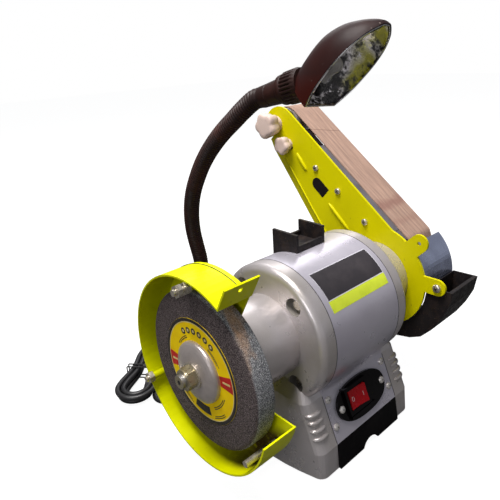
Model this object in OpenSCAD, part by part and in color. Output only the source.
// Bench grinder with a 150 mm wheel on its left and a 50 x 686 mm belt sander on its right.
// Millimetres. The origin is the centre of the bench bolt pattern, on the bench.
// +X runs along the shaft to the belt side, -Y faces the user and +Z is up.

/* [Shaft and wheel] */
// Height of the shaft's axis above the bench
shaft_height = 132; // [128:1:140]
// Diameter of the shaft where the wheel and the drive pulley sit
arbor_d = 12.7; // [12:0.1:13]
// Diameter of the shaft in its bearings
journal_d = 15; // [14:0.5:16]
// Diameter of the shaft through the rotor
rotor_shaft_d = 18; // [16:1:20]
// Diameter of the grinding wheel
wheel_d = 150; // [120:1:152]
// Thickness of the grinding wheel
wheel_w = 20; // [16:1:20]
// Diameter of the paper label on the wheel
label_d = 100; // [90:1:110]
// Diameter of the two wheel flanges
flange_d = 58; // [50:1:60]
// Thickness of the inner wheel flange
flange_w = 5; // [4:0.5:5]
// Height of the domed outer flange
dome_h = 8; // [6:0.5:9]
// Width across the flats of the arbor nuts
nut_flats = 19; // [17:1:22]
// Thickness of the arbor nuts
nut_h = 9; // [7:0.5:11]
// Free thread past the wheel nut
thread_over = 4; // [3:0.5:8]

/* [Motor housing] */
// Outer diameter of the motor housing
housing_d = 142; // [140:1:144]
// Wall of the housing castings
housing_wall = 3; // [2.5:0.25:3.5]
// Length of the centre housing between the two seams
centre_len = 100; // [98:1:104]
// Distance from a seam to the flat face of its end housing
cap_len = 18; // [17:0.5:19]
// Radius of the rounded edge of an end housing
cap_round = 7; // [5:0.5:7]
// Diameter of the bearing snouts
snout_d = 83.6; // [80:1:86]
// Length of the left snout, to the wheel guard
left_snout_len = 56.5; // [56:0.5:58]
// Diameter of the boss that the belt arm turns on
arm_boss_d = 50; // [46:1:52]
// Outer diameter of the two ball bearings
bearing_d = 35; // [32:1:36]
// Width of the ball bearings
bearing_w = 11; // [10:1:12]

/* [Pedestal] */
// Half depth of the pedestal at the neck under the motor
neck_half = 51.8; // [50:0.2:53]
// Half depth where the sloping panel ends, above the tray
panel_foot_half = 71; // [69:0.5:72]
// Half depth of the base at the bench
base_half = 73; // [72.5:0.5:76]
// Half width of the base at its corners
base_side = 76; // [75:0.5:78]
// How far the base's sides bulge out between its corners
side_bulge = 10; // [6:0.5:12]
// Radius of the pedestal's upright corners
corner_round = 10; // [8:0.5:12]
// Spacing of the bench bolts along X
bolt_dx = 124; // [120:1:126]
// Spacing of the bench bolts along Y
bolt_dy = 104; // [100:1:106]
// Diameter of the bench bolt holes
bolt_hole_d = 6.6; // [5.5:0.1:7]
// Thickness of the base plate
base_plate_t = 2; // [1.5:0.5:2.5]
// How far the rubber feet stand out of the base
foot_proud = 2; // [1:0.5:3]
// Diameter of the rubber feet
foot_d = 20; // [18:1:22]

/* [Switch and tray] */
// Half width of the oval switch bezel
bezel_half_w = 38; // [36:0.5:39]
// Half height of the oval switch bezel
bezel_half_h = 20; // [19:0.5:20.5]
// Thickness of the switch bezel
bezel_t = 3; // [2.5:0.5:4]
// Width of the rocker along X
rocker_w = 24; // [22:1:25]
// Height of the rocker up the panel
rocker_h = 19; // [17:1:20]
// How far each way the rocker tips from its middle, in degrees
rocker_tip = 8; // [6:1:9]
// Height of the coolant tray
tray_h = 24.5; // [22:0.5:24.5]
// Depth of the coolant tray behind its front
tray_depth = 64; // [55:1:66]
// Wall of the coolant tray
tray_wall = 2; // [1.5:0.25:2.5]

/* [Wheel guard] */
// Outer radius of the guard's band
guard_r = 92; // [88:1:95]
// Width of the guard from its side plate to its open edge
guard_w = 35.5; // [33:0.5:36]
// Thickness of the guard's sheet
guard_t = 1.6; // [1.2:0.1:2]
// Angle of the upper end of the band above the front, in degrees
guard_top_angle = 61.5; // [55:0.5:65]
// Angle of the lower end of the band below the front, in degrees
guard_low_angle = 15; // [10:1:20]
// Height of the lip at the upper end
lip_h = 22; // [18:0.5:24]
// Diameter of the hole in the lip
lip_hole_d = 4.4; // [4:0.1:5]
// Radius of the circle of the three cover studs
stud_circle_r = 84; // [81:0.5:84]
// Diameter of the cover studs
stud_d = 6; // [5:0.5:6]

/* [Belt arm] */
// Angle of the belt arm above the horizontal, in degrees
arm_angle = 38.3; // [36:0.1:40]
// Distance of the arm plate from the middle of the machine
arm_x = 114.4; // [114:0.1:115]
// Thickness of the arm plate
arm_t = 3; // [2.5:0.25:3]
// Diameter of the arm's hub disc
hub_disc_d = 125.8; // [122:0.5:128]
// Width of the sanding belt
belt_w = 50; // [48:0.5:50]
// Thickness of the sanding belt
belt_t = 1.2; // [1:0.1:1.4]
// Radius of the drive pulley
drive_r = 46; // [44:0.5:47]
// Radius of the idler pulley
idler_r = 24; // [22:0.5:25]
// Distance of the idler along the arm from the shaft
idler_s = 226; // [222:1:228]
// Length of the platen
platen_len = 144; // [130:1:148]
// Travel of the idler against its spring
idler_travel = 6; // [4:0.5:7]
// Outer radius of the curved steel deflector
deflector_r = 63.5; // [63.2:0.1:65]
// Width of the deflector and the dust chute along X
chute_w = 60; // [56:1:61]

/* [Lamp] */
// Outer diameter of the gooseneck
neck_d = 15.2; // [14:0.2:17]
// Number of ribs on the gooseneck
neck_ribs = 110; // [80:1:120]
// Length of the lamp's shell
lamp_len = 70.5; // [66:0.5:76]
// Greatest width of the lamp's shell
lamp_w = 51; // [46:1:54]
// Height of the lamp's shell over its lens
lamp_h = 28; // [25:0.5:30]
// Wall of the lamp's shell
lamp_wall = 1.6; // [1.2:0.1:2]

/* [Power cord] */
// Diameter of the power cord
cord_d = 6.5; // [6:0.1:6.8]
// Loops in the tied hank
hank_turns = 4; // [4:2:6]

/* [Hidden] */
$fn = 72;

// Gap between pieces that must not touch, running clearance in radius, and overrun of cuts
gap = 0.3;
run_gap = 0.05;
over = 1;

// Colours, as the photograph shows them
lime = [0.78, 0.82, 0.02];
casting = [0.66, 0.65, 0.69];
black = [0.08, 0.07, 0.08];
steel = [0.62, 0.62, 0.64];
zinc = [0.74, 0.73, 0.68];
knob_grey = [0.78, 0.73, 0.69];

// Sizes of the housing
housing_r = housing_d / 2;
centre_half = centre_len / 2;
cap_x = centre_half + cap_len;
snout_r = snout_d / 2;
left_snout_x = cap_x + left_snout_len;
right_snout_x = arm_x - gap;
arm_boss_r = arm_boss_d / 2;
arm_boss_x = arm_x + arm_t + gap;
spigot_r = arm_boss_r * 0.8;
clamp_ring_r = arm_boss_r + 6;
bearing_r = bearing_d / 2;
end_wall = 3.5;
snout_wall = 4;
bore_r = housing_r - housing_wall;
base_drop = shaft_height - foot_proud;
neck_drop = 56;
panel_foot_drop = 103;
shoulder_drop = 38;
shoulder_half = 40;
shoulder_side = cap_x - 1;
neck_side = base_side - 0.5;
neck_fillet = 10;

// The sloping front panel, as a line in the (y, z) plane from the shaft
panel_lean = atan((panel_foot_half - neck_half) / (panel_foot_drop - neck_drop));
panel_out = [-cos(panel_lean), sin(panel_lean)];
panel_up = [sin(panel_lean), cos(panel_lean)];
panel_dist = panel_out * [-panel_foot_half, -panel_foot_drop];

// Screws of the end housings
bolt_circle_r = 54;
bolt_circle_angle = 50;
pocket_r = 9;
pocket_depth = 9;
pocket_boss_r = 11.5;
through_bolt_r = 2.5;
through_head_r = 4.5;
through_head_h = 4;
pocket_angles = [for (a = [bolt_circle_angle, -bolt_circle_angle]) for (b = [0, 180]) a + b];

// Motor
stator_half = 32;
stator_in_r = 36;
winding_len = 15;
winding_in_r = 38;
winding_out_r = 49;
rotor_gap = 0.6;
fan_x = 52;
fan_r = 43;
fan_t = 2;
fan_w = 9;
fan_hub_r = 13;
fan_blades = 9;

// Wheel side, from the guard outwards
guard_plate_x = left_snout_x + guard_t;
flange_in_x = guard_plate_x + 0.9;
wheel_in_x = flange_in_x + flange_w;
wheel_out_x = wheel_in_x + wheel_w;
label_t = 0.4;
label_hole_r = 16;
washer_h = 1.5;
nut_x = wheel_out_x + dome_h + washer_h;
left_shaft_x = nut_x + nut_h + thread_over;
arbor_r = arbor_d / 2;
journal_r = journal_d / 2;
flange_rim = 2;
flange_seat_r = 19;
flange_crown_r = 13;

// Belt side
belt_x = arm_x + 4.9;
pulley_x = belt_x + 1;
pulley_w = belt_w - 2;
pulley_recess_r = 38;
pulley_recess = 7;
pulley_nut_x = pulley_x + pulley_w + washer_h;
right_shaft_x = pulley_nut_x + nut_h + thread_over;
idler_n = 35;
face_n = idler_n + idler_r;
belt_gap = 0.3;

// Base
base_z = foot_proud;
plate_inset = housing_wall + gap;
base_screw_r = 2;
base_screw_x = 64;
base_screw_y = 22;
boss_r = 5;
boss_top = 24;
panel_screw_r = 2;
panel_head_r = 3.3;
panel_head_h = 2.2;
panel_screw_x = 44.4;
panel_screw_us = [15.5, 43.5];
tab_len = 11;
tab_margin = 6;

// Switch, in the panel's own (x, up, out) frame
bezel_u = 28;
bezel_screw_x = 33;
bezel_screw_head_r = 3.2;
switch_x = -9;
switch_u = 31;
switch_half_w = 17;
switch_half_h = 14;
switch_depth = 20;
switch_proud = 6;
rocker_body_r = 11;
rocker_pin_r = 1.5;
rocker_proud = 3.2;
ledge_w = 38;
ledge_h = 3;
ledge_u = 13;

// Gooseneck path, from the lamp base up and forward, and the lamp's place at its end.
// Its foot runs straight for a diameter.
neck_foot = [-71, 100, 154];
collar_at = [-90, -30.9, 362];
lamp_at = [-88.1, -67.8, 371.2];
collar_dir = unit(lamp_at - collar_at);
neck_path = [neck_foot, neck_foot + [0, 0, neck_d / 2], neck_foot + [0, 0, neck_d],
    [-71.5, 100.4, 186], [-75.3, 99, 203], [-79.8, 96, 220], [-83.5, 91.2, 237], [-86.3, 84.6, 254],
    [-88.2, 76.2, 270], [-89.4, 66, 285], [-90.3, 55, 299], [-91, 43, 311.5], [-91.6, 30, 323],
    [-92, 16.5, 333.4], [-92.2, 2.4, 343], [-91.8, -9, 351.2], collar_at - neck_d * 0.6 * collar_dir,
    collar_at - 2 * gap * collar_dir];
lamp_rim_at = [-83.4, -82.8, 356.2];
lamp_turn = [172.6, -46.2, -79.7];

// Cord: from the strain relief down to the bench and to the hank, which lies behind the guard
cord_r = cord_d / 2;
relief_x = -40;
relief_u = 20;
relief_len = 32;
relief_end = [relief_x, panel_foot_half - relief_u * panel_up[0] + relief_len * -panel_out[0],
    shaft_height - panel_foot_drop + relief_u * panel_up[1] + relief_len * panel_out[1]];
relief_dir = [0, -panel_out[0], panel_out[1]];

// Hank: run and end radius of its loops, pitch of the strands and draw at its tied waist
hank_at = [-104, 202];
hank_heading = 39;
hank_in_r = 10;
hank_pitch = 7.3;
hank_layers = 2;
hank_rise = cord_d + 2 * gap;
hank_run = 36;
hank_draw = 4;
hank_out_r = hank_in_r + hank_pitch * hank_turns / hank_layers;
tie_wire = 1.2;
meet_gap = 0.25;
side_gap = 0.8;
tie_clear = 4;
hank_z = cord_r + tie_wire + 2 * gap;

// A place beside the hank: along it, across it and above the bench
function by_hank(u, v, z) = [hank_at[0] + u * cos(hank_heading) - v * sin(hank_heading),
    hank_at[1] + u * sin(hank_heading) + v * cos(hank_heading), z];

// A cord's place along the outermost strand of a layer, drawn in with it at the waist
function beside_hank(u, layer) =
    by_hank(u, hank_draw * (1 + cos(180 * u / hank_run)) / 2 - hank_out_r
        - side_gap * min(1, max(0, abs(u) - tie_clear) / cord_d),
        hank_z + layer * (hank_layers - 1) * hank_rise);

// Shared shapes

// Moves its children to the shaft's axis
module at_shaft() {
    translate([0, 0, shaft_height]) children();
}

// A round bar along X, from x0 to x1
module bar_x(x0, x1, r) {
    translate([x0, 0, 0]) rotate([0, 90, 0]) cylinder(h = x1 - x0, r = r);
}

// A round bar along X at a place in the (y, z) plane
module bar_at(p, x0, x1, r) {
    translate([0, p[0], p[1]]) bar_x(x0, x1, r);
}

// An outline in the (y, z) plane, pushed along X
module slab_x(x0, x1) {
    translate([x0, 0, 0]) rotate([90, 0, 90]) linear_extrude(x1 - x0) children();
}

// A profile of (r, x) points turned round the X axis
module turned_x(points) {
    rotate([0, 90, 0]) rotate_extrude() polygon(points);
}

// A point of the (y, z) plane, at an angle above the front
function at_angle(r, a) = [-r * cos(a), r * sin(a)];

// Points of an arc in the plane of a polygon
function arc(c, r, a0, a1, n) = [for (i = [0 : n]) let (a = a0 + (a1 - a0) * i / n) c + r * [cos(a), sin(a)]];

function flip(points) = [for (i = [len(points) - 1 : -1 : 0]) [-points[i][0], points[i][1]]];
function unit(v) = v / norm(v);
function angle_of(v) = atan2(v[1], v[0]);
function ease(t) = t <= 0 ? 0 : t >= 1 ? 1 : t * t * (3 - 2 * t);

// A hexagonal nut along X, with its bore
module hex_nut(x0, h, flats, r) {
    difference() {
        translate([x0, 0, 0]) rotate([0, 90, 0]) cylinder(h = h, d = flats / cos(30), $fn = 6);
        bar_x(x0 - over, x0 + h + over, r);
    }
}

// Corners of an n-sided section at each point of a path, square to the path
function ring_points(points, radii, n, side) =
    let (last = len(points) - 1)
    [for (i = [0 : last])
        let (t = unit(points[min(i + 1, last)] - points[max(i - 1, 0)]),
             a = unit(cross(t, side)), b = cross(t, a))
        for (k = [0 : n - 1])
            points[i] + radii[i] * (cos(360 * k / n) * a + sin(360 * k / n) * b)];

// An n-sided section swept along points, closed at both ends
module swept(points, radii, n, side) {
    last = len(points) - 1;
    walls = [for (i = [0 : last - 1]) for (k = [0 : n - 1])
        let (p = i * n + k, q = i * n + (k + 1) % n)
        for (f = [[p, q + n, q], [p, p + n, q + n]]) f];
    ends = [for (k = [1 : n - 2]) for (f = [[0, k, k + 1], [last * n, last * n + k + 1, last * n + k]]) f];
    polyhedron(ring_points(points, radii, n, side), concat(walls, ends));
}

// Housing

// Front half of the pedestal's outline, from the motor down to the bench
function pedestal_front() =
    let (e = panel_dist + neck_fillet,
         c = e * panel_out - sqrt(pow(housing_r + neck_fillet, 2) - e * e) * panel_up)
    concat(arc(c, neck_fillet, angle_of(-c), angle_of(-panel_out), 8),
        [[-panel_foot_half, -panel_foot_drop], [-base_half, -base_drop]]);

// Inside of the pedestal's outline
function pedestal_inside() =
    let (w = housing_wall / cos(panel_lean),
         front = [[-neck_half + w, -neck_drop], [-panel_foot_half + w, -panel_foot_drop],
             [-base_half + housing_wall, -base_drop - over]])
    concat(front, flip(front));

// Plan of the pedestal: rounded corners and bulging sides
function plan(half_y, side, bulge, r) =
    let (yc = half_y - r,
         edge = [for (i = [-4 : 4]) [side + bulge * (1 - pow(i / 4, 2)), yc * i / 4]],
         quarter = arc([side - r, yc], r, 0, 90, 5))
    concat(edge, [for (i = [1 : 5]) quarter[i]], flip(concat(edge, [for (i = [1 : 5]) quarter[i]])),
        []);

// Right half of a plan: both front and rear corners on the +X side
function half_plan(half_y, side, bulge, r, x0) =
    let (yc = half_y - r,
         edge = [for (i = [-4 : 4]) [side + bulge * (1 - pow(i / 4, 2)), yc * i / 4]],
         top = arc([side - r, yc], r, 0, 90, 5),
         low = arc([side - r, -yc], r, -90, 0, 5))
    concat([[x0, -half_y]], [for (i = [0 : 4]) low[i]], edge, [for (i = [1 : 5]) top[i]], [[x0, half_y]]);

// The end housing's pedestal, as a solid drawn in by a wall
module pedestal_end(inset, x0) {
    slice = 0.1;
    rows = [[shoulder_drop, shoulder_half, shoulder_side, 0], [neck_drop, neck_half, neck_side, 0],
        [panel_foot_drop, panel_foot_half, base_side, side_bulge / 2],
        [base_drop, base_half, base_side, side_bulge]];
    hull()
        for (row = rows)
            translate([0, 0, -row[0]])
                linear_extrude(slice)
                    polygon(half_plan(row[1] - inset, row[2] - inset, row[3], corner_round - inset, x0));
}

// One end housing, on the +X side: motor end, snout and its share of the pedestal
module end_casting(snout_x, seat_x) {
    difference() {
        union() {
            turned_x(concat([[0, centre_half], [housing_r, centre_half]],
                arc([housing_r - cap_round, cap_x - cap_round], cap_round, 0, 90, 8),
                [[snout_r, cap_x], [snout_r, snout_x], [0, snout_x]]));
            pedestal_end(0, centre_half);
            intersection() {
                for (m = [0, 1]) mirror([0, m, 0])
                    slab_x(centre_half, base_side - corner_round) polygon(pedestal_front());
                bar_x(centre_half, base_side, housing_r + neck_fillet);
            }
        }
        difference() {
            union() {
                bar_x(centre_half - over, cap_x - cap_round, bore_r);
                bar_x(centre_half - over, cap_x - end_wall, bore_r - cap_round);
                bar_x(centre_half - over, seat_x - end_wall, snout_r - snout_wall);
            }
            for (a = pocket_angles)
                bar_at(at_angle(bolt_circle_r, a), centre_half, cap_x, pocket_boss_r);
        }
        difference() {
            translate([0, 0, -over]) pedestal_end(housing_wall, centre_half - over);
            bar_x(centre_half - over, cap_x, housing_r);
            for (sy = [-1, 1])
                translate([base_screw_x, sy * base_screw_y, -base_drop + base_plate_t])
                    cylinder(h = boss_top, r = boss_r);
            for (sy = [-1, 1])
                translate([base_screw_x, sy * base_screw_y - housing_wall / 2, -base_drop + base_plate_t])
                    cube([base_side, housing_wall, boss_top]);
        }
        translate([0, 0, -base_drop - over]) linear_extrude(base_plate_t + over)
            polygon(half_plan(base_half - housing_wall, base_side - housing_wall, side_bulge,
                corner_round - housing_wall, centre_half - over));
        for (a = pocket_angles) {
            bar_at(at_angle(bolt_circle_r, a), cap_x - pocket_depth, cap_x + over, pocket_r);
            bar_at(at_angle(bolt_circle_r, a), centre_half - over, cap_x, through_bolt_r + gap);
        }
        for (sy = [-1, 1])
            translate([base_screw_x, sy * base_screw_y, -base_drop])
                cylinder(h = boss_top - boss_r, r = base_screw_r);
    }
}

// Tab of an end housing behind the front panel, which the panel screws bite into
module panel_tab() {
    u0 = panel_screw_us[0] - tab_margin;
    tab_h = panel_screw_us[1] - panel_screw_us[0] + 2 * tab_margin;
    on_panel() difference() {
        union() {
            translate([centre_half - tab_len, u0, -2 * housing_wall - gap])
                cube([2 * tab_len, tab_h, housing_wall]);
            translate([centre_half, u0, -2 * housing_wall])
                cube([tab_len, tab_h, housing_wall + over]);
        }
        for (u = panel_screw_us)
            translate([panel_screw_x, u, -3 * housing_wall])
                cylinder(h = 3 * housing_wall, r = panel_screw_r);
    }
}

// The front panel's frame: x, up the slope from the panel's foot, and out of it
module on_panel() {
    translate([0, -panel_foot_half, -panel_foot_drop]) rotate([90 - panel_lean, 0, 0]) children();
}

module left_end_housing() {
    seat_end = left_snout_x - end_wall;
    color(casting) at_shaft() mirror([1, 0, 0]) {
        difference() {
            end_casting(left_snout_x, seat_end - bearing_w);
            bar_x(seat_end - bearing_w - 2 * end_wall, seat_end, bearing_r);
            bar_x(seat_end - over, left_snout_x + over, journal_r + over);
            for (a = guard_screw_angles)
                bar_at(at_angle(guard_screw_r, a), left_snout_x - guard_screw_depth, left_snout_x + over,
                    guard_screw_d / 2);
            for (dz = lamp_screw_dz)
                translate([-lamp_screw_x, 0, dz]) rotate([-90, 0, 0])
                    cylinder(h = housing_r + over, r = base_screw_r);
        }
        panel_tab();
    }
}

module right_end_housing() {
    seat_end = arm_boss_x - end_wall;
    color(casting) at_shaft() {
        difference() {
            union() {
                end_casting(right_snout_x, seat_end - bearing_w);
                bar_x(right_snout_x - over, arm_boss_x, arm_boss_r);
                bar_x(arm_boss_x - over, arm_boss_x + arm_t, spigot_r);
            }
            bar_x(seat_end - bearing_w - 2 * end_wall, seat_end, bearing_r);
            bar_x(seat_end - over, arm_boss_x + arm_t + over, journal_r + over);
        }
        panel_tab();
    }
}

module centre_housing() {
    color(casting) at_shaft() difference() {
        union() {
            bar_x(-centre_half, centre_half, housing_r);
            for (m = [0, 1]) mirror([0, m, 0])
                slab_x(-centre_half, centre_half) polygon(concat(pedestal_front(), [[0, -base_drop], [0, 0]]));
        }
        bar_x(-centre_half - over, centre_half + over, bore_r);
        difference() {
            slab_x(-centre_half - over, centre_half + over) polygon(pedestal_inside());
            bar_x(-centre_half, centre_half, housing_r);
        }
        translate([-centre_len, -2 * base_half, -base_drop - over])
            cube([2 * centre_len, 2 * base_half, base_drop - panel_foot_drop + over]);
        mirror([0, 1, 0]) on_panel() translate([relief_x, relief_u, -2 * housing_wall])
            cylinder(h = 3 * housing_wall, r = relief_bush_r + run_gap);
        on_panel() {
            translate([switch_x - switch_half_w - gap, switch_u - switch_half_h - gap, -2 * housing_wall])
                cube([2 * (switch_half_w + gap), 2 * (switch_half_h + gap), 3 * housing_wall]);
            for (sx = [-1, 1]) {
                for (u = panel_screw_us)
                    translate([sx * panel_screw_x, u, -2 * housing_wall])
                        cylinder(h = 3 * housing_wall, r = panel_screw_r + gap);
                translate([sx * bezel_screw_x, bezel_u, -2 * housing_wall])
                    cylinder(h = 3 * housing_wall, r = panel_screw_r);
            }
        }
    }
}

module base_plate() {
    color(steel) difference() {
        translate([0, 0, base_z]) linear_extrude(base_plate_t)
            polygon(plan(base_half - plate_inset, base_side - plate_inset, side_bulge,
                corner_round - plate_inset));
        for (sx = [-1, 1]) for (sy = [-1, 1]) {
            translate([sx * bolt_dx / 2, sy * bolt_dy / 2, 0])
                cylinder(h = base_z + base_plate_t + over, r = foot_stem_r + run_gap);
            translate([sx * base_screw_x, sy * base_screw_y, 0])
                cylinder(h = base_z + base_plate_t + over, r = base_screw_r + gap);
        }
    }
}

foot_stem_r = 5;
foot_cap_r = 7;
foot_cap_h = 1.5;

module rubber_feet() {
    color(black) for (sx = [-1, 1]) for (sy = [-1, 1])
        translate([sx * bolt_dx / 2, sy * bolt_dy / 2, 0]) difference() {
            union() {
                cylinder(h = foot_proud, d = foot_d);
                cylinder(h = base_z + base_plate_t + foot_cap_h, r = foot_stem_r);
                translate([0, 0, base_z + base_plate_t]) cylinder(h = foot_cap_h, r = foot_cap_r);
            }
            translate([0, 0, -over])
                cylinder(h = base_z + base_plate_t + foot_cap_h + 2 * over, d = bolt_hole_d);
        }
}

base_head_r = 3.6;
base_head_h = 1.6;
base_screw_len = 12;

module base_plate_screws() {
    color(zinc) for (sx = [-1, 1]) for (sy = [-1, 1])
        translate([sx * base_screw_x, sy * base_screw_y, base_z - base_head_h]) {
            cylinder(h = base_head_h, r = base_head_r);
            cylinder(h = base_screw_len, r = base_screw_r - run_gap);
        }
}

module through_bolts() {
    head_x = cap_x - pocket_depth;
    color(zinc) at_shaft() for (a = pocket_angles) {
        bar_at(at_angle(bolt_circle_r, a), -head_x - through_head_h, -head_x, through_head_r);
        bar_at(at_angle(bolt_circle_r, a), -head_x, head_x + 2 * through_head_h, through_bolt_r);
    }
}

module panel_screws() {
    color(zinc) at_shaft() on_panel() for (sx = [-1, 1]) for (u = panel_screw_us)
        translate([sx * panel_screw_x, u, 0]) {
            pan_head(panel_head_r, panel_head_h);
            translate([0, 0, -2 * housing_wall]) cylinder(h = 2 * housing_wall, r = panel_screw_r - run_gap);
        }
}

// A domed screw head, standing on its local plane
module pan_head(r, h) {
    rotate_extrude() polygon(concat([[0, 0], [r, 0], [r, h / 2]],
        [for (a = [15 : 15 : 90]) [r * cos(a), h / 2 + h / 2 * sin(a)]]));
}

// Oval outline of the bezel, from a superellipse
function bezel_outline(grow) = [for (a = [0 : 6 : 354])
    [(bezel_half_w + grow) * sign(cos(a)) * pow(abs(cos(a)), 0.85),
     (bezel_half_h + grow) * sign(sin(a)) * pow(abs(sin(a)), 0.85)]];

module switch_bezel() {
    color(black) at_shaft() on_panel() difference() {
        union() {
            translate([0, bezel_u, 0]) linear_extrude(bezel_t) polygon(bezel_outline(0));
            translate([switch_x - ledge_w / 2 + ledge_h, ledge_u, 0]) cube([ledge_w, ledge_h, 2 * bezel_t]);
        }
        translate([switch_x - switch_half_w - gap, switch_u - switch_half_h - gap, -over])
            cube([2 * (switch_half_w + gap), 2 * (switch_half_h + gap), 3 * bezel_t]);
        for (sx = [-1, 1])
            translate([sx * bezel_screw_x, bezel_u, -over])
                cylinder(h = 2 * bezel_t, r = panel_screw_r + gap);
    }
}

module bezel_screws() {
    color(zinc) at_shaft() on_panel() for (sx = [-1, 1])
        translate([sx * bezel_screw_x, bezel_u, bezel_t]) {
            pan_head(bezel_screw_head_r, panel_head_h);
            translate([0, 0, -bezel_t - housing_wall])
                cylinder(h = bezel_t + housing_wall, r = panel_screw_r - run_gap);
        }
}

// The switch's frame: open in the middle for the rocker, with a pin across
module switch_body() {
    wall = 2;
    color(black) at_shaft() on_panel() translate([switch_x, switch_u, 0]) {
        difference() {
            translate([-switch_half_w, -switch_half_h, -switch_depth])
                cube([2 * switch_half_w, 2 * switch_half_h, switch_depth + switch_proud]);
            translate([-rocker_w / 2 - wall, -rocker_h / 2 - gap, -rocker_body_r - wall])
                cube([rocker_w + 2 * wall, rocker_h + 2 * gap, switch_depth + switch_proud]);
        }
        translate([0, switch_half_h - over, switch_proud - rocker_proud])
            rotate([90, 0, 0]) cylinder(h = 2 * (switch_half_h - over), r = rocker_pin_r);
    }
}

module rocker() {
    color("firebrick") at_shaft() on_panel() translate([switch_x, switch_u, switch_proud - rocker_proud])
        rotate([0, -rocker_tip, 0]) rotate([90, 0, 0]) translate([0, 0, -rocker_h / 2]) difference() {
            linear_extrude(rocker_h) polygon(concat(
                [[-rocker_w / 2, 0], [-rocker_w / 2, -rocker_proud], [rocker_w / 2, -rocker_proud],
                 [rocker_w / 2, 0]],
                arc([0, rocker_proud + rocker_w * 2], rocker_w * 2, -76, -104, 8)));
            translate([0, 0, -over]) cylinder(h = rocker_h + 2 * over, r = rocker_pin_r + run_gap);
        }
}

tray_front_t = 2.5;
tray_low_half = 75.7;
tray_side = centre_half - gap;
tray_z = base_z + base_plate_t + gap;
notch_r = 14;

module coolant_tray() {
    top = tray_z + tray_h;
    color(black) difference() {
        union() {
            slab_x(-tray_side, tray_side) polygon([
                [-panel_foot_half + tray_front_t, top], [-panel_foot_half - gap, top],
                [-tray_low_half, base_z], [-tray_low_half + tray_front_t, base_z],
                [-base_half + housing_wall, tray_z], [-base_half + tray_depth, tray_z],
                [-base_half + tray_depth, top]]);
        }
        translate([-tray_side + tray_wall, -panel_foot_half + tray_front_t, tray_z + tray_wall])
            cube([2 * (tray_side - tray_wall), tray_depth - 2 * tray_wall - 2, tray_h]);
        translate([0, -panel_foot_half + over, base_z - notch_r / 2]) rotate([90, 0, 0])
            cylinder(h = notch_r, r = notch_r);
    }
}

holder_x = -24.5;
holder_len = 42;
holder_depth = 34;
holder_wall = 3;
holder_top = 90;
holder_lip = 78;
holder_floor = 73;
holder_foot = 62;

module tool_holder() {
    color(black) at_shaft() difference() {
        translate([holder_x, 0, holder_foot]) cube([holder_len, holder_depth, holder_top - holder_foot]);
        translate([holder_x + holder_wall, -over, holder_lip])
            cube([holder_len - 2 * holder_wall, holder_depth + 2 * over, holder_top]);
        translate([holder_x + holder_wall, holder_wall, holder_floor])
            cube([holder_len - 2 * holder_wall, holder_depth - 2 * holder_wall, holder_top]);
        bar_x(-centre_half, centre_half, housing_r + run_gap);
    }
}

module stator_core() {
    color("dimgray") at_shaft() difference() {
        bar_x(-stator_half, stator_half, bore_r - gap);
        bar_x(-stator_half - over, stator_half + over, stator_in_r);
        for (a = pocket_angles)
            bar_at(at_angle(bolt_circle_r, a), -stator_half - over, stator_half + over, through_bolt_r + gap);
    }
}

module stator_windings() {
    color([0.65, 0.35, 0.15]) at_shaft() for (m = [0, 1]) mirror([m, 0, 0])
        turned_x([[winding_in_r, stator_half + run_gap], [winding_out_r, stator_half + run_gap],
            [winding_out_r, stator_half + winding_len * 2 / 3], [winding_out_r - winding_len / 4, stator_half + winding_len],
            [winding_in_r, stator_half + winding_len]]);
}

// A ball bearing as one ring with its shields
module bearing(x0) {
    color(steel) at_shaft() difference() {
        bar_x(x0, x0 + bearing_w, bearing_r - run_gap);
        bar_x(x0 - over, x0 + bearing_w + over, journal_r + run_gap);
    }
}

module left_bearing() {
    bearing(-left_snout_x + end_wall + run_gap);
}

module right_bearing() {
    bearing(arm_boss_x - end_wall - bearing_w - run_gap);
}

module motor_shaft() {
    color(steel) at_shaft() {
        bar_x(-left_shaft_x, -flange_in_x, arbor_r);
        bar_x(-flange_in_x, -left_snout_x + end_wall + bearing_w + over, journal_r);
        bar_x(-left_snout_x + end_wall + bearing_w + over, arm_boss_x - end_wall - bearing_w - over, rotor_shaft_d / 2);
        bar_x(arm_boss_x - end_wall - bearing_w - over, pulley_x + pulley_recess, journal_r);
        bar_x(pulley_x + pulley_recess, right_shaft_x, arbor_r);
    }
}

module rotor_core() {
    color("gray") at_shaft() difference() {
        bar_x(-stator_half, stator_half, stator_in_r - rotor_gap);
        bar_x(-stator_half - over, stator_half + over, rotor_shaft_d / 2 + run_gap);
    }
}

module cooling_fan() {
    color(black) at_shaft() difference() {
        union() {
            bar_x(fan_x, fan_x + fan_w, fan_hub_r);
            bar_x(fan_x, fan_x + fan_t, fan_r * 2 / 3);
            for (i = [0 : fan_blades - 1]) rotate([i * 360 / fan_blades, 0, 0])
                translate([fan_x, fan_hub_r - over, -fan_t / 2]) cube([fan_w, fan_r - fan_hub_r, fan_t]);
        }
        bar_x(fan_x - over, fan_x + fan_w + over, rotor_shaft_d / 2 + run_gap);
    }
}

module inner_flange() {
    color(steel) at_shaft() difference() {
        bar_x(-wheel_in_x + run_gap, -flange_in_x - run_gap, flange_d / 2);
        bar_x(-wheel_in_x - over, -flange_in_x + over, arbor_r + run_gap);
    }
}

module grinding_wheel() {
    color([0.3, 0.27, 0.28]) at_shaft() difference() {
        bar_x(-wheel_out_x, -wheel_in_x, wheel_d / 2);
        bar_x(-wheel_out_x - over, -wheel_in_x + over, arbor_r + run_gap);
    }
}

module wheel_label() {
    color([0.88, 0.72, 0.05]) at_shaft() difference() {
        bar_x(-wheel_out_x - label_t, -wheel_out_x, label_d / 2);
        bar_x(-wheel_out_x - over, -wheel_out_x + over, label_hole_r);
    }
}

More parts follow.
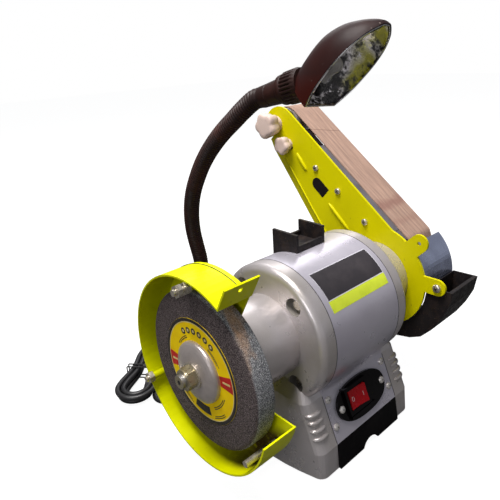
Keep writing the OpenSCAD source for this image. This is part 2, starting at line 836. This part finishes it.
// Domed washer: a thin rim on the label, rising to a flat seat for the nut
module outer_flange() {
    x0 = wheel_out_x + label_t;
    color(steel) at_shaft() mirror([1, 0, 0]) difference() {
        turned_x(concat([[0, x0], [flange_d / 2, x0], [flange_d / 2, x0 + flange_rim]],
            [for (i = [1 : 6]) let (a = i * 90 / 6)
                [flange_crown_r + (flange_d / 2 - flange_crown_r) * cos(a),
                 x0 + flange_rim + (dome_h - flange_rim - label_t) * sin(a)]],
            [[0, wheel_out_x + dome_h]]));
        bar_x(x0 - over, wheel_out_x + dome_h + over, arbor_r + run_gap);
        bar_x(x0 - over, x0 + flange_rim, flange_seat_r);
    }
    color(steel) at_shaft() mirror([1, 0, 0]) difference() {
        bar_x(wheel_out_x + run_gap, x0 + flange_rim, label_hole_r - gap);
        bar_x(wheel_out_x - over, wheel_out_x + dome_h, arbor_r + run_gap);
    }
}

module arbor_nut() {
    color(zinc) at_shaft() mirror([1, 0, 0]) {
        hex_nut(nut_x, nut_h, nut_flats, arbor_r + run_gap);
        difference() {
            bar_x(nut_x - washer_h, nut_x, nut_flats / 2);
            bar_x(nut_x - washer_h - over, nut_x + over, arbor_r + run_gap);
        }
    }
}

guard_screw_r = 34;
guard_screw_angles = [100, 180, 260];
guard_screw_d = 4;
guard_screw_depth = 10;
guard_head_r = 3.6;
guard_head_h = 2;
guard_hub_r = 42;
guard_hole_r = 20;
stud_angles = [89, 207, -38.5];
stud_tips = [11.5, 8, 1.5];
post_r = 3.6;
post_ends = [-4, 0, -guard_w];
guard_far_x = left_snout_x + guard_w;

// Side plate, band, lip, lower edge and the posts for the cover
module wheel_guard() {
    a0 = guard_top_angle;
    a1 = 360 - guard_low_angle;
    edge_angle = -asin(guard_r * sin(guard_low_angle) / guard_hub_r);
    color(lime) at_shaft() mirror([1, 0, 0]) {
        difference() {
            slab_x(left_snout_x, guard_plate_x) polygon(concat(
                [for (i = [0 : 60]) at_angle(guard_r, a0 + (a1 - a0) * i / 60)],
                [for (i = [0 : 12]) at_angle(guard_hub_r, edge_angle + (a0 - edge_angle) * i / 12)]));
            bar_x(left_snout_x - over, guard_plate_x + over, guard_hole_r);
            for (a = guard_screw_angles)
                bar_at(at_angle(guard_screw_r, a), left_snout_x - over, guard_plate_x + over,
                    guard_screw_d / 2 + gap);
        }
        slab_x(left_snout_x, guard_far_x) polygon(concat(
            [for (i = [0 : 60]) at_angle(guard_r, a0 + (a1 - a0) * i / 60)],
            [for (i = [60 : -1 : 0]) at_angle(guard_r - guard_t, a0 + (a1 - a0) * i / 60)]));
        rotate([-a0, 0, 0]) difference() {
            translate([left_snout_x, -guard_r - lip_h, -guard_t])
                cube([guard_w, lip_h + guard_t, guard_t]);
            translate([left_snout_x + guard_w / 2, -guard_r - lip_h * 2 / 3, -guard_t - over])
                cylinder(h = guard_t + 2 * over, d = lip_hole_d);
        }
        for (i = [0, 1])
            difference() {
                bar_at(at_angle(stud_circle_r, stud_angles[i]), left_snout_x, guard_far_x + post_ends[i], post_r);
                bar_at(at_angle(stud_circle_r, stud_angles[i]), guard_plate_x, guard_far_x + over,
                    stud_d / 2 - run_gap);
            }
    }
}

module guard_screws() {
    color(zinc) at_shaft() mirror([1, 0, 0]) for (a = guard_screw_angles) {
        bar_at(at_angle(guard_screw_r, a), guard_plate_x, guard_plate_x + guard_head_h, guard_head_r);
        bar_at(at_angle(guard_screw_r, a), left_snout_x - guard_screw_depth + over, guard_plate_x,
            guard_screw_d / 2 - run_gap);
    }
}

module cover_studs() {
    color(zinc) at_shaft() mirror([1, 0, 0]) for (i = [0 : 2])
        bar_at(at_angle(stud_circle_r, stud_angles[i]), guard_plate_x, guard_far_x + stud_tips[i],
            stud_d / 2 - 2 * run_gap);
}

cover_nut_flats = 10;
cover_nut_h = 5;

module cover_nuts() {
    color(zinc) at_shaft() mirror([1, 0, 0])
        for (spot = [[0, post_ends[0]], [0, post_ends[0] + 1.5 * cover_nut_h], [1, post_ends[1]]])
            translate([0, at_angle(stud_circle_r, stud_angles[spot[0]])[0],
                at_angle(stud_circle_r, stud_angles[spot[0]])[1]])
                hex_nut(guard_far_x + spot[1] + run_gap, cover_nut_h, cover_nut_flats, stud_d / 2);
}

// Belt arm: local Y runs along the arm and local Z to its front

module on_arm() {
    at_shaft() rotate([arm_angle, 0, 0]) children();
}

module drive_pulley() {
    color(steel) at_shaft() difference() {
        turned_x([[0, pulley_x], [drive_r - belt_gap - run_gap * 8, pulley_x],
            [drive_r - belt_gap, pulley_x + pulley_w / 3], [drive_r - belt_gap, pulley_x + pulley_w * 2 / 3],
            [drive_r - belt_gap - run_gap * 8, pulley_x + pulley_w], [0, pulley_x + pulley_w]]);
        bar_x(pulley_x - over, pulley_x + pulley_recess, pulley_recess_r);
        bar_x(pulley_x, pulley_x + pulley_w + over, arbor_r + run_gap);
        difference() {
            bar_x(pulley_x + pulley_w - pulley_recess * 2, pulley_x + pulley_w + over, pulley_recess_r);
            bar_x(pulley_x, pulley_x + pulley_w, pulley_hub_r);
        }
    }
}

pulley_hub_r = 16;

module pulley_nut() {
    color(zinc) at_shaft() {
        hex_nut(pulley_nut_x, nut_h, nut_flats, arbor_r + run_gap);
        difference() {
            bar_x(pulley_nut_x - washer_h, pulley_nut_x, nut_flats / 2);
            bar_x(pulley_nut_x - washer_h - over, pulley_nut_x + over, arbor_r + run_gap);
        }
    }
}

// Angle of the belt's rear run, which touches both pulleys on their outer side
rear_angle = atan2(idler_n, idler_s) + asin((drive_r - idler_r) / norm([idler_s, idler_n]));
rear_dir = [cos(rear_angle), sin(rear_angle)];
rear_out = [sin(rear_angle), -cos(rear_angle)];
platen_s = 20;
end_r = 26;
neck_front_s = 2;
neck_front_n = 58.5;
hub_r = hub_disc_d / 2;
tab_hole_at = [-9, 74.5];
tab_screw_at = [-57, 53.5];
tab_r = 10.5;
slot_at = [130, 20];
slot_half = 12;
slot_r = 7.5;
platen_screw_spots = [[148.5, 35], [105.5, 37.5], [54, 38]];
platen_screw_r = 2;
platen_head_r = 4;
tracking_at = [234, 33];
tension_at = [202, 26];
knob_bolt_r = 3;
bevel_in = 9;
bevel_rise = 2.2;
bevel_from = 75;
rear_edge = drive_r + belt_t + 3.3;

// Outline of the arm's blade without its bevelled rear edge
function blade() =
    let (back0 = (rear_edge - bevel_in) * rear_out + hub_r * rear_dir / 2,
         back1 = (rear_edge - bevel_in) * rear_out + idler_s * rear_dir)
    concat([back0, back1], arc([idler_s + 2, idler_n - 1], end_r, rear_angle - 70, 90, 12),
        [[neck_front_s, neck_front_n], [0, 0]]);

// A rounded tab from the hub disc to a point, as an outline
module tab(p, root, r) {
    d = unit(p - root);
    side = [-d[1], d[0]];
    polygon(concat([root - r * side, root + r * side],
        arc(p, r, angle_of(side), angle_of(side) - 180, 12)));
}

module arm_plate() {
    color(lime) on_arm() {
        difference() {
            union() {
                bar_x(arm_x, arm_x + arm_t, hub_r);
                slab_x(arm_x, arm_x + arm_t) polygon(blade());
                slab_x(arm_x, arm_x + arm_t) tab(tab_hole_at, [-4, 30], tab_r);
                slab_x(arm_x, arm_x + arm_t) tab(tab_screw_at, [-30, 32], tab_r * 0.9);
            }
            bar_x(arm_x - over, arm_x + arm_t + over, arm_boss_r + run_gap);
            for (s = platen_screw_spots) bar_at(s, arm_x - over, arm_x + arm_t + over, platen_screw_r + gap);
            bar_at(tab_hole_at, arm_x - over, arm_x + arm_t + over, platen_screw_r + gap);
            bar_at(tab_screw_at, arm_x - over, arm_x + arm_t + over, platen_screw_r + gap);
            bar_at(tracking_at, arm_x - over, arm_x + arm_t + over, knob_bolt_r + run_gap);
            slab_x(arm_x - over, arm_x + arm_t + over)
                polygon([for (p = concat(arc([slot_half - slot_r, 0], slot_r, -90, 90, 8),
                    arc([-slot_half + slot_r, 0], slot_r, 90, 270, 8))) slot_at + p]);
            slab_x(arm_x - over, arm_x + arm_t + over)
                polygon([for (p = concat(arc([idler_travel, 0], knob_bolt_r + gap, -90, 90, 8),
                    arc([-idler_travel, 0], knob_bolt_r + gap, 90, 270, 8))) tension_at + p]);
        }
        rotate([rear_angle, 0, 0]) translate([arm_x, bevel_from, bevel_in - rear_edge])
            rotate([-90, 0, 0]) linear_extrude(idler_s - bevel_from)
                polygon([[0, 0], [arm_t, 0], [bevel_rise + arm_t, bevel_in], [bevel_rise, bevel_in]]);
    }
}

module arm_clamp_ring() {
    color(zinc) at_shaft() difference() {
        bar_x(arm_boss_x, arm_boss_x + arm_t, clamp_ring_r);
        bar_x(arm_boss_x - over, arm_boss_x + arm_t + over, spigot_r + run_gap);
    }
}

platen_t = 3;
bracket_t = 2.5;
platen_low_n = 27;

module platen() {
    face = face_n - belt_gap;
    color(steel) on_arm() difference() {
        union() {
            slab_x(belt_x, belt_x + belt_w - over)
                polygon([[platen_s, face - platen_t], [platen_s + platen_len, face - platen_t],
                    [platen_s + platen_len, face - over], [platen_s + platen_len - over, face],
                    [platen_s + over, face], [platen_s, face - over]]);
            slab_x(arm_x + arm_t, arm_x + arm_t + bracket_t)
                polygon([[platen_s + 20, platen_low_n], [platen_s + platen_len - 20, platen_low_n],
                    [platen_s + platen_len, face - 3 * platen_t], [platen_s + platen_len, face],
                    [platen_s, face], [platen_s, face - 3 * platen_t]]);
            slab_x(arm_x + arm_t, spring_x + spring_r + over)
                polygon([[platen_s + platen_len - platen_t, spring_n - spring_r - over],
                    [platen_s + platen_len, spring_n - spring_r - over],
                    [platen_s + platen_len, face - over], [platen_s + platen_len - platen_t, face - over]]);
        }
        for (s = platen_screw_spots) bar_at(s, arm_x, belt_x + over, platen_screw_r);
    }
}

module platen_screws() {
    color(zinc) on_arm() for (s = platen_screw_spots) {
        translate([arm_x, s[0], s[1]]) rotate([0, -90, 0]) pan_head(platen_head_r, platen_head_r * 0.8);
        bar_at(s, arm_x, arm_x + arm_t + bracket_t, platen_screw_r - run_gap);
    }
}

// Closed outline of the belt at an offset outside the pulleys
function belt_loop(grow) =
    let (rd = drive_r + grow, ri = idler_r + grow, nf = idler_n + ri,
         d = norm([platen_s, nf]), front = atan2(nf, platen_s) + acos(rd / d))
    concat(arc([idler_s, idler_n], ri, rear_angle - 90, 90, 14), [[platen_s, nf]],
        arc([0, 0], rd, front, rear_angle + 270, 28));

module sanding_belt() {
    color([0.74, 0.6, 0.54]) on_arm() difference() {
        slab_x(belt_x, belt_x + belt_w) polygon(belt_loop(belt_t));
        slab_x(belt_x - over, belt_x + belt_w + over) polygon(belt_loop(0));
    }
}

yoke_x = arm_x + arm_t + gap;
yoke_t = 5;
yoke_end_r = 12;
axle_r = 5;
spring_s = 168;
spring_r = 5;
spring_len = 17;
spring_n = face_n - 12;
spring_x = arm_x + arm_t + 10;

// Sliding bar that carries the idler's axle, with the block that the spring pushes
module tension_bracket() {
    color(black) on_arm() difference() {
        union() {
            slab_x(yoke_x, yoke_x + yoke_t) polygon(concat(
                arc([idler_s, idler_n], yoke_end_r, -90, 90, 10),
                [[spring_s + spring_len + gap, idler_n + yoke_end_r],
                 [spring_s + spring_len + gap, tension_at[1] - 2 * knob_bolt_r]]));
            slab_x(yoke_x, yoke_x + 3 * yoke_t) polygon([
                [spring_s + spring_len + gap, idler_n], [spring_s + spring_len + 2 * yoke_t, idler_n],
                [spring_s + spring_len + 2 * yoke_t, face_n - 2], [spring_s + spring_len + gap, face_n - 2]]);
        }
        bar_at([idler_s, idler_n], yoke_x - over, yoke_x + yoke_t + over, axle_r);
        bar_at(tension_at, yoke_x - over, yoke_x + yoke_t + over, knob_bolt_r + gap);
    }
}

module idler_axle() {
    color(steel) on_arm() {
        bar_at([idler_s, idler_n], yoke_x + run_gap, belt_x + belt_w - 2, axle_r - run_gap);
        bar_at([idler_s, idler_n], belt_x + belt_w - 2, belt_x + belt_w + 1, axle_r * 1.6);
    }
}

module idler_pulley() {
    x0 = yoke_x + yoke_t + gap;
    x1 = belt_x + belt_w - 2 - gap;
    color(steel) on_arm() translate([0, idler_s, idler_n]) difference() {
        turned_x([[0, x0], [idler_r - belt_gap - run_gap * 8, x0], [idler_r - belt_gap, x0 + (x1 - x0) / 3],
            [idler_r - belt_gap, x1 - (x1 - x0) / 3], [idler_r - belt_gap - run_gap * 8, x1], [0, x1]]);
        bar_x(x0 - over, x1 + over, axle_r + run_gap);
        for (x = [x0 - over, x1 - 4])
            difference() {
                bar_x(x, x + 4 + over, idler_r - 4);
                bar_x(x, x + 4 + over, axle_r + 4);
            }
    }
}

// Helix of the tension spring between the platen's end and the sliding block
spring_turns = 7;
spring_wire_r = 0.9;

module tension_spring() {
    steps = spring_turns * 8;
    y0 = platen_s + platen_len + gap + spring_wire_r;
    y1 = spring_s + spring_len - spring_wire_r;
    pts = [for (i = [0 : steps]) let (a = i * 360 / 8)
        [spring_x + spring_r * cos(a), y0 + (y1 - y0) * i / steps, spring_n + spring_r * sin(a)]];
    echo(spring_gap = least_gap(pts, 2 * spring_wire_r, 5));
    color(steel) on_arm() swept(pts, [for (p = pts) spring_wire_r], 6, [0, 1, 0.01]);
}

knob_lobes = 6;
tracking_knob_r = 16;
tension_knob_r = 12;
knob_len_share = 1.1;

// A lobed knob on its bolt, turned to face -X
module knob(p, r, bolt_end) {
    len = r * knob_len_share;
    base = arm_x - 2;
    color(knob_grey) on_arm() {
        slab_at(p, base - len, base - len / 4)
            polygon([for (a = [0 : 6 : 354]) r * (0.88 + 0.12 * cos(knob_lobes * a)) * [cos(a), sin(a)]]);
        bar_at(p, base - len / 4, arm_x - run_gap, r * 0.6);
        bar_at(p, arm_x - run_gap, bolt_end, knob_bolt_r);
    }
}

module slab_at(p, x0, x1) {
    translate([0, p[0], p[1]]) slab_x(x0, x1) children();
}

module tracking_knob() {
    knob(tracking_at, tracking_knob_r, arm_x + arm_t);
}

module tension_knob() {
    knob(tension_at, tension_knob_r, yoke_x + yoke_t);
}

deflector_x = arm_x + arm_t;
deflector_t = 1.2;
deflector_top = 48;
deflector_low = -4;

module deflector() {
    color([0.5, 0.5, 0.56]) at_shaft() slab_x(deflector_x, deflector_x + chute_w)
        polygon(concat(
            [for (i = [0 : 14]) at_angle(deflector_r, deflector_low + (deflector_top - deflector_low) * i / 14)],
            [for (i = [14 : -1 : 0]) at_angle(deflector_r - deflector_t,
                deflector_low + (deflector_top - deflector_low) * i / 14)]));
}

chute_wall = 2;

// Outline of the dust chute: a scoop from its mouth, round under the pulley
function chute_outline() = concat(
    [[-hub_r - chute_wall, 3], [-94, 4], [-91, -14], [-83, -32], [-72, -50], [-60, -63], [-46, -70],
     [-28, -74], [-10, -72], [0, -68]],
    [for (i = [0 : 8]) at_angle(deflector_r + gap, -88 + i * 84 / 8)]);

module dust_chute() {
    color(black) difference() {
        union() {
            at_shaft() slab_x(deflector_x, deflector_x + chute_w) polygon(chute_outline());
            on_arm() bar_at(tab_screw_at, deflector_x, deflector_x + chute_wall, tab_r * 0.7);
        }
        at_shaft() slab_x(deflector_x + chute_wall, deflector_x + chute_w - chute_wall)
            polygon([[-66, 20], [-90, 20], [-89, -13], [-81, -31], [-70, -48], [-58.5, -61], [-66, -30]]);
        on_arm() bar_at(tab_screw_at, deflector_x - over, deflector_x + 2 * chute_wall, platen_screw_r + run_gap);
    }
}

module chute_screw() {
    color(zinc) on_arm() {
        translate([arm_x, tab_screw_at[0], tab_screw_at[1]]) rotate([0, -90, 0])
            pan_head(platen_head_r * 1.2, platen_head_r);
        bar_at(tab_screw_at, arm_x, arm_x + arm_t + chute_wall, platen_screw_r);
    }
}

socket_r = 13;
socket_z0 = 126;
socket_z1 = neck_foot[2];
ferrule_r = 8;

// Bracket on the back of the left end housing, with the socket that the gooseneck turns in
module lamp_base() {
    color(black) difference() {
        union() {
            translate([neck_foot[0], neck_foot[1], socket_z0])
                cylinder(h = socket_z1 - socket_z0, r = socket_r);
            translate([neck_foot[0] - socket_r / 2, bore_r - over, socket_z0])
                cube([socket_r * 1.6, neck_foot[1] - bore_r + over, socket_z1 - socket_z0]);
        }
        at_shaft() bar_x(-cap_x - socket_r, 0, housing_r + run_gap);
        translate([neck_foot[0], neck_foot[1], socket_z0 + housing_wall])
            cylinder(h = socket_z1, r = ferrule_r + run_gap);
        for (dz = lamp_screw_dz)
            translate([lamp_screw_x, 0, shaft_height + dz]) rotate([-90, 0, 0])
                cylinder(h = 2 * housing_r, r = base_screw_r + gap);
        for (dz = lamp_screw_dz)
            translate([lamp_screw_x, lamp_screw_y, shaft_height + dz]) rotate([-90, 0, 0])
                cylinder(h = housing_r, r = base_head_r + gap);
    }
}

lamp_screw_x = -60;
lamp_screw_y = housing_r + 8;
lamp_screw_dz = [2, 14];

module lamp_base_screws() {
    color(zinc) for (dz = lamp_screw_dz)
        translate([lamp_screw_x, lamp_screw_y, shaft_height + dz]) rotate([-90, 0, 0]) {
            cylinder(h = base_head_h, r = base_head_r);
            translate([0, 0, -8 - housing_wall]) cylinder(h = 8 + housing_wall, r = base_screw_r - run_gap);
        }
}

// Ribbed hose with its bore, from the ferrule in the socket to the collar at the lamp
module gooseneck() {
    smooth = spline(neck_path, 4 * neck_bore_rings);
    outer = even(smooth, 2 * neck_ribs);
    inner = even(smooth, neck_bore_rings);
    color(black) hose(outer, [for (i = [0 : len(outer) - 1]) neck_d / 2 - (i % 2) * rib_depth],
        inner, neck_d / 4, 8, [0.3, 1, 0]);
}

// A tube of n sides with a bore of its own rings, closed by a flat ring at each end
module hose(outer, radii, inner, r, n, side) {
    a = len(outer);
    b = len(inner);
    m = a * n;
    rings = concat(ring_points(outer, radii, n, side), ring_points(inner, [for (p = inner) r], n, side));
    faces = [for (k = [0 : n - 1]) let (q = (k + 1) % n)
        for (f = concat(
            [for (i = [0 : a - 2]) for (f = [[i * n + k, i * n + q + n, i * n + q],
                [i * n + k, i * n + k + n, i * n + q + n]]) f],
            [for (i = [0 : b - 2]) for (f = [[m + i * n + k, m + i * n + q, m + i * n + q + n],
                [m + i * n + k, m + i * n + q + n, m + i * n + k + n]]) f],
            [[k, q, m + q], [k, m + q, m + k]],
            [[m - n + k, m + (b - 1) * n + q, m - n + q], [m - n + k, m + (b - 1) * n + k, m + (b - 1) * n + q]]))
        f];
    polyhedron(rings, faces);
}

neck_bore_rings = 60;
rib_depth = 0.9;

// Smooth points through a list of points
function spline(p, n) = [for (i = [0 : n])
    let (last = len(p) - 1, x = i * last / n, k = min(floor(x), last - 1), t = x - k,
         a = p[max(k - 1, 0)], b = p[k], c = p[k + 1], d = p[min(k + 2, last)])
    0.5 * (2 * b + (c - a) * t + (2 * a - 5 * b + 4 * c - d) * t * t + (3 * b - a - 3 * c + d) * t * t * t)];

// Points at even distances along a list of points
function even(p, n) =
    let (last = len(p) - 1,
         far = [for (i = 0, s = 0; i <= last; s = s + norm(p[min(i + 1, last)] - p[i]), i = i + 1) s])
    [for (i = [0 : n]) [for (k = [0 : 2])
        lookup(far[last] * i / n, [for (j = [0 : last]) [far[j], p[j][k]]])]];

collar_r = 8.2;
collar_top_r = 9.4;
collar_ring_r = 11.2;
collar_ring_len = 5;
knurl_len = 10;
knurl_r = 12.2;

// Turns its children's +Z to a direction
module along(v) {
    rotate([0, acos(v[2]), atan2(v[1], v[0])]) children();
}

// Collar at the gooseneck's upper end, and the ferrule that turns in the socket
module neck_fittings() {
    color(steel) translate([neck_foot[0], neck_foot[1], socket_z0 + housing_wall + run_gap])
        cylinder(h = socket_z1 - socket_z0 - housing_wall - 2 * run_gap, r = ferrule_r);
    far = norm(lamp_at - collar_at) - knurl_len - run_gap;
    color(black) translate(collar_at) along(collar_dir) rotate_extrude()
        polygon([[0, run_gap], [collar_r, run_gap], [collar_top_r, far - collar_ring_len],
            [collar_ring_r, far - collar_ring_len + over], [collar_ring_r, far], [0, far]]);
}

module lamp_collar() {
    color(black) difference() {
        translate(lamp_at) along(collar_dir) translate([0, 0, -knurl_len])
            cylinder(h = 2 * knurl_len, r = knurl_r);
        at_lamp() translate([-meet_gap, -lamp_w, -2 * lamp_h]) cube([lamp_len, 2 * lamp_w, 3 * lamp_h]);
    }
}

// Lamp: from the middle of its rim's rear edge, local X runs to the tip and local Z out of the opening
module at_lamp() {
    translate(lamp_rim_at) rotate(lamp_turn) children();
}

lamp_shares = [[0, 0.71, 0.92], [0.12, 0.86, 0.98], [0.25, 0.96, 1], [0.45, 1, 1], [0.6, 0.97, 0.93],
    [0.75, 0.84, 0.76], [0.88, 0.6, 0.5], [0.96, 0.34, 0.28], [1, 0.16, 0.12]];

// Half-round sections of the shell, drawn in by a wall
function lamp_ring(row, inset, top) =
    let (x = row[0] * (lamp_len - 2 * inset) + inset, w = row[1] * lamp_w / 2 - inset,
         h = row[2] * lamp_h - inset,
         rim = top > 0 ? [[x, w, top]] : [],
         end = top > 0 ? [[x, -w, top]] : [])
    concat(rim, [for (i = [0 : 12]) let (a = 180 * i / 12) [x, w * cos(a), -h * sin(a)]], end);

module lamp_form(inset, top) {
    rows = len(lamp_shares);
    pts = [for (row = lamp_shares) for (p = lamp_ring(row, inset, top)) p];
    n = len(lamp_ring(lamp_shares[0], inset, top));
    walls = [for (i = [0 : rows - 2]) for (k = [0 : n - 1])
        let (p = i * n + k, q = i * n + (k + 1) % n)
        for (f = [[p, q, q + n], [p, q + n, p + n]]) f];
    e = (rows - 1) * n;
    ends = [for (k = [1 : n - 2]) for (f = [[0, k + 1, k], [e, e + k, e + k + 1]]) f];
    polyhedron(pts, concat(walls, ends));
}

module lamp_shell() {
    color([0.16, 0.05, 0.03]) at_lamp() difference() {
        lamp_form(0, 0);
        lamp_form(lamp_wall, over);
    }
}

reflector_t = 1;

module lamp_reflector() {
    color("silver") at_lamp() difference() {
        lamp_form(lamp_wall + gap, 0);
        lamp_form(lamp_wall + gap + reflector_t, over);
    }
}

bulb_r = 5.5;
bulb_x = 28;
bulb_height_share = 0.42;
bulb_base_x = lamp_wall + gap + reflector_t + gap;

module lamp_bulb() {
    color("white") at_lamp() translate([bulb_x, 0, -lamp_h * bulb_height_share]) {
        sphere(r = bulb_r);
        rotate([0, -90, 0]) cylinder(h = bulb_x - bulb_base_x, r = bulb_r * 0.7);
    }
}

relief_flange_r = 8;
relief_flange_h = 3;
relief_bush_r = 6;

// The rear wall's frame, which mirrors the front panel's
module on_rear() {
    at_shaft() mirror([0, 1, 0]) on_panel() children();
}

// Strain relief: a bush through the rear wall, a flange and a tapered sleeve
module strain_relief() {
    color(black) on_rear() translate([relief_x, relief_u, 0]) rotate_extrude()
        polygon([[0, -housing_wall - over], [relief_bush_r, -housing_wall - over], [relief_bush_r, 0],
            [relief_flange_r, 0], [relief_flange_r, relief_flange_h], [relief_bush_r, relief_flange_h + over],
            [cord_r + over, relief_len], [0, relief_len]]);
}

cord_path = [relief_end, relief_end + cord_d * relief_dir, [-40, 108, 64], [-41, 117, 59],
    [-43, 124, 49.5], [-46, 128.5, 38], [-51, 131, 26], [-58, 131.8, 16], [-67, 131.8, 9],
    [-77, 131.5, 6], [-87, 131.5, 5], [-97, 131.5, 5], [-106, 131.6, 5], [-114, 133.7, 5],
    [-120, 139.6, 5], [-122.2, 147.6, 5], [-120, 155.6, 5], beside_hank(-36, 0), beside_hank(-28, 0),
    beside_hank(-21, 0), beside_hank(-14, 0), beside_hank(-cord_d, 0), beside_hank(-tie_clear, 0),
    beside_hank(-over, 0), beside_hank(-meet_gap, 0)];

module power_cord() {
    color(black) swept(cord_path, [for (p = cord_path) cord_r], 10, [0, 0.001, 1]);
}

// A point of the hank after t loops. The loops spiral in and out, a layer each time, and climb
// in the half turn where the spiral reverses.
function hank_point(t) =
    let (half = PI * (hank_in_r + hank_out_r) / 2, run = 2 * hank_run, loop = 2 * (half + run),
         f = t + hank_run / loop,
         s = (f - floor(f)) * loop,
         layer_turns = hank_turns / hank_layers,
         x = t / layer_turns,
         tooth = abs(x - 2 * floor((x + 1) / 2)),
         r = hank_out_r - hank_pitch * layer_turns * tooth,
         k = s < run ? 0 : s < run + half ? 1 : s < 2 * run + half ? 2 : 3,
         a = k == 1 ? 180 * (s - run) / half - 90 : k == 3 ? 180 * (s - 2 * run - half) / half - 90 : 0,
         u = k == 0 ? s - hank_run : k == 2 ? hank_run - (s - run - half) : 0,
         w = r - hank_draw * (1 + cos(180 * u / hank_run)) / 2,
         p = k == 0 ? [u, -w] : k == 1 ? [hank_run + r * cos(a), r * sin(a)]
             : k == 2 ? [u, w] : [-hank_run - r * cos(a), -r * sin(a)],
         climbs = [for (j = [1 : hank_layers - 1]) ease(2 * (t - j * layer_turns) + 0.5)])
    by_hank(p[0], p[1], hank_z + hank_rise * (climbs * [for (c = climbs) 1]));

hank_points = [for (i = [0 : 24 * hank_turns]) hank_point(i / 24)];

// Least gap of a tube to itself, measured between points that lie more than skip apart on it
function least_gap(points, d, skip) =
    min([for (i = [0 : len(points) - skip - 1]) for (j = [i + skip : len(points) - 1])
        norm(points[i] - points[j])]) - d;

module cord_hank() {
    fine = [for (i = [0 : 72 * hank_turns]) hank_point(i / 72)];
    echo(hank_gap = least_gap(fine, cord_d, 24));
    color(black) swept(hank_points, [for (p = hank_points) cord_r], 6, [0, 0.001, 1]);
}

tie_half_w = hank_out_r - hank_draw + cord_r + gap;
tie_top = hank_z + (hank_layers - 1) * hank_rise + cord_r + gap;
tie_spread = 3;

// Two thin wires round the hank's waist, with their twist on top
module cord_tie() {
    low = hank_z - cord_r - gap;
    color(black) translate([hank_at[0], hank_at[1], 0]) rotate([0, 0, hank_heading]) {
        for (u = [-tie_spread, tie_spread]) translate([u - tie_wire / 2, 0, 0]) slab_x(0, tie_wire)
            difference() {
                polygon([[-tie_half_w, low - tie_wire], [tie_half_w, low - tie_wire],
                    [tie_half_w + tie_wire, low], [tie_half_w + tie_wire, tie_top],
                    [tie_half_w, tie_top + tie_wire], [-tie_half_w, tie_top + tie_wire],
                    [-tie_half_w - tie_wire, tie_top], [-tie_half_w - tie_wire, low]]);
                polygon([[-tie_half_w, low], [tie_half_w, low], [tie_half_w, tie_top],
                    [-tie_half_w, tie_top]]);
            }
        translate([-tie_spread, -tie_spread, tie_top]) cube([2 * tie_spread, 2 * tie_spread, 2 * tie_wire]);
    }
}

plug_at = [20, 262];
plug_heading = 180;
plug_r = 17;
plug_body = 24;
plug_sleeve = 18;
plug_pin_r = 2.4;
plug_pin_len = 19;
plug_pin_gap = 19;
plug_z = plug_r + gap;

function by_plug(x) = [plug_at[0] + x * cos(plug_heading), plug_at[1] + x * sin(plug_heading), plug_z];

plug_path = [beside_hank(meet_gap, 1), beside_hank(over, 1), beside_hank(tie_clear, 1),
    beside_hank(cord_d, 1), beside_hank(14, 1), beside_hank(21, 1), beside_hank(28, 1), beside_hank(36, 1),
    by_hank(46, -27, 12), by_hank(57, -30, 8), [-31, 220.5, 5.5], [-19, 223.5, 4],
    [-5, 223, 3.6], [8, 217, 3.6], [20, 207, 3.6], [34, 196, 3.6], [50, 188, 3.6], [68, 185, 3.6],
    [86, 188, 3.6], [101, 197, 3.6], [110, 210, 3.6], [112, 225, 3.6], [107, 240, 3.8], [96, 251, 5],
    [82, 258, 8], [67, 261.5, 12], by_plug(-plug_sleeve - 2 * cord_d), by_plug(-plug_sleeve - cord_d),
    by_plug(-plug_sleeve)];

module plug_cord() {
    color(black) swept(plug_path, [for (p = plug_path) cord_r], 10, [0, 0.001, 1]);
}

// Round two-pin plug, lying on its side
module plug() {
    color(black) translate(by_plug(0)) rotate([0, 0, plug_heading]) rotate([0, 90, 0]) {
        rotate_extrude() polygon([[0, -plug_sleeve], [cord_r + over, -plug_sleeve],
            [cord_r + 3 * over, 0], [plug_r - 2 * over, over], [plug_r, 3 * over],
            [plug_r, plug_body - over], [plug_r - over, plug_body], [0, plug_body]]);
        for (s = [-1, 1]) translate([0, s * plug_pin_gap / 2, plug_body - over])
            cylinder(h = plug_pin_len + over, r = plug_pin_r);
    }
}

centre_housing();
left_end_housing();
right_end_housing();
base_plate();
rubber_feet();
base_plate_screws();
through_bolts();
panel_screws();
switch_bezel();
bezel_screws();
switch_body();
rocker();
coolant_tray();
tool_holder();
stator_core();
stator_windings();
left_bearing();
right_bearing();
motor_shaft();
rotor_core();
cooling_fan();
inner_flange();
grinding_wheel();
wheel_label();
outer_flange();
arbor_nut();
wheel_guard();
guard_screws();
cover_studs();
cover_nuts();
drive_pulley();
pulley_nut();
arm_plate();
arm_clamp_ring();
platen();
platen_screws();
sanding_belt();
tension_bracket();
idler_axle();
idler_pulley();
tension_spring();
tracking_knob();
tension_knob();
deflector();
dust_chute();
chute_screw();
lamp_base();
lamp_base_screws();
gooseneck();
neck_fittings();
lamp_collar();
lamp_shell();
lamp_reflector();
lamp_bulb();
strain_relief();
power_cord();
cord_hank();
cord_tie();
plug_cord();
plug();
